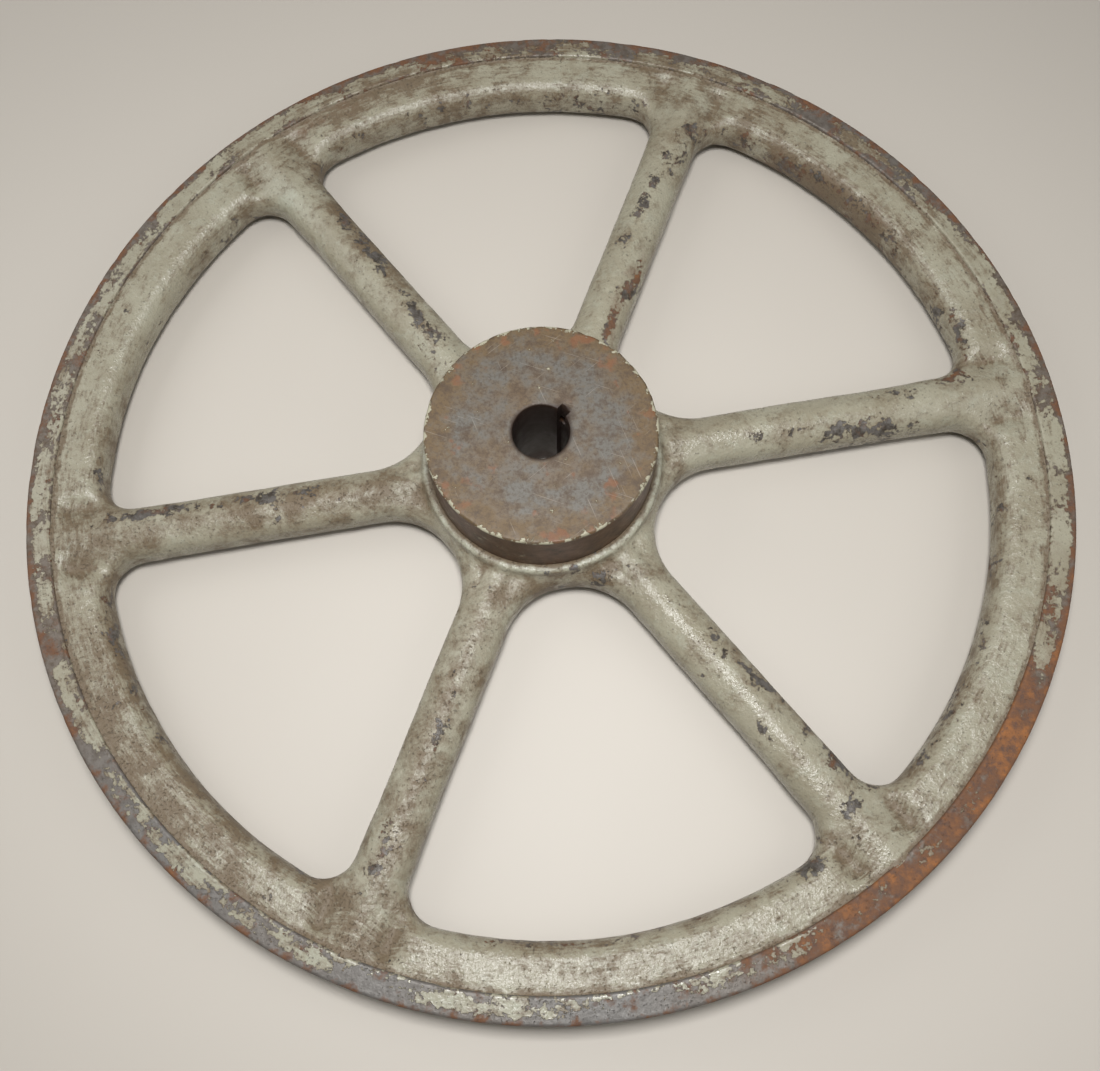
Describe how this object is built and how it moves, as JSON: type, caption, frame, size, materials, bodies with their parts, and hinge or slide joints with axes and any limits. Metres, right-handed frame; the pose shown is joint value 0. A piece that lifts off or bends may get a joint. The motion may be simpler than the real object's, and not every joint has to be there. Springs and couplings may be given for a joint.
{
  "type": "pottery wheel flywheel",
  "caption": "Heavy round cast-iron flywheel for a pottery wheel, with a flat rim, round spokes and a long hub with a keyed bore and set screw.",
  "frame": {"origin": "on the shaft axis, in the plane of the back faces of the rim and the hub", "axes": "+Z along the shaft axis towards the long end of the hub, +X along spoke_1"},
  "size_m": [0.6095, 0.6096, 0.0762],
  "materials": {
    "casting_paint": "worn grey-green paint over rough cast iron",
    "band_iron": "turned iron with chipped paint and rust",
    "hub_iron": "turned bare iron with brown patina",
    "screw_steel": "dull oxidised steel"
  },
  "bodies": {
    "wheel": {"rim_band": "band_iron", "rim_web": "casting_paint", "spoke_1": "casting_paint", "spoke_2": "casting_paint", "spoke_3": "casting_paint", "spoke_4": "casting_paint", "spoke_5": "casting_paint", "spoke_6": "casting_paint", "hub_collar": "casting_paint", "hub_barrel": "hub_iron"},
    "screw": {"set_screw": "screw_steel"}
  },
  "joints": [
    {"name": "screw_travel", "type": "slide", "parent": "wheel", "child": "screw", "axis": [0.8141, 0.5807, 0], "range_m": [-0.003, 0.045]}
  ]
}
